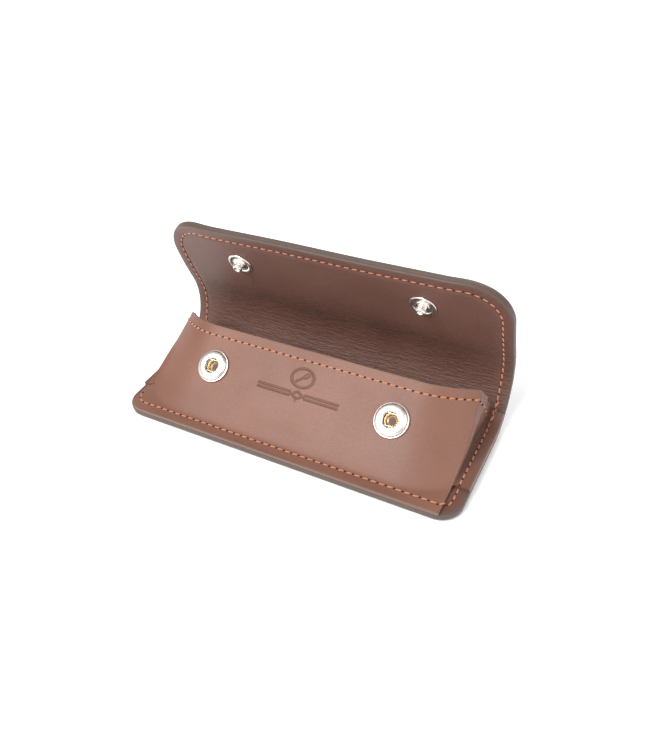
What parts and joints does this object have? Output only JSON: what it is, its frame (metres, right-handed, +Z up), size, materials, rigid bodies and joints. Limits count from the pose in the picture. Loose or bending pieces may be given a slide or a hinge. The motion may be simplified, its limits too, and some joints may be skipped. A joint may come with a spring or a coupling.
{
  "type": "brush roll case",
  "caption": "Leather roll case standing open: flat back with a formed pocket, a rounded roll behind it and a flap that folds over and closes with press-studs.",
  "frame": {"origin": "middle of the flat underside of the back, on the surface that the case rests on", "axes": "+X along the case, +Y from the front edge to the roll and the flap, +Z up"},
  "size_m": [0.15, 0.0654, 0.0704],
  "materials": {
    "outer_leather": "satin, burnished edge",
    "lining_leather": "satin",
    "pocket_leather": "satin",
    "stiffener": "matt",
    "thread": "matt",
    "nickel": "polished",
    "brass": "polished"
  },
  "bodies": {
    "back": {"outer_back": "outer_leather", "lining_back": "lining_leather", "back_board": "stiffener", "pocket_front": "pocket_leather", "pocket_lining": "lining_leather", "seam_back": "thread", "seam_mouth": "thread", "left_socket_ring": "nickel", "left_socket_springs": "brass", "left_socket_eyelet": "brass", "right_socket_ring": "nickel", "right_socket_springs": "brass", "right_socket_eyelet": "brass"},
    "lower_roll": {"outer_lower_roll": "outer_leather", "lining_lower_roll": "lining_leather", "pocket_flange_ends": "pocket_leather", "seam_lower_roll": "thread"},
    "middle_roll": {"outer_middle_roll": "outer_leather", "lining_middle_roll": "lining_leather", "seam_middle_roll": "thread"},
    "upper_roll": {"outer_upper_roll": "outer_leather", "lining_upper_roll": "lining_leather", "seam_upper_roll": "thread"},
    "flap": {"outer_flap": "outer_leather", "lining_flap": "lining_leather", "flap_board": "stiffener", "seam_flap": "thread", "left_stud": "nickel", "left_stud_rivet": "nickel", "right_stud": "nickel", "right_stud_rivet": "nickel"}
  },
  "joints": [
    {"name": "roll_fold", "type": "hinge", "parent": "back", "child": "lower_roll", "pos_m": [0, 0.0225, 0.0018], "axis": [1, 0, 0], "range_deg": [-15, 23]},
    {"name": "roll_fold_upper", "type": "hinge", "parent": "lower_roll", "child": "middle_roll", "pos_m": [0, 0.0345, 0.00707], "axis": [1, 0, 0], "range_deg": [-15, 23]},
    {"name": "flap_fold", "type": "hinge", "parent": "middle_roll", "child": "upper_roll", "pos_m": [0, 0.03933, 0.0332], "axis": [1, 0, 0], "range_deg": [-25, 30]},
    {"name": "flap_fold_upper", "type": "hinge", "parent": "upper_roll", "child": "flap", "pos_m": [0, 0.03712, 0.03878], "axis": [1, 0, 0], "range_deg": [-25, 30]}
  ],
  "couplings": [
    {"joint": "roll_fold_upper", "follows": "roll_fold", "ratio": 1},
    {"joint": "flap_fold_upper", "follows": "flap_fold", "ratio": 1}
  ]
}
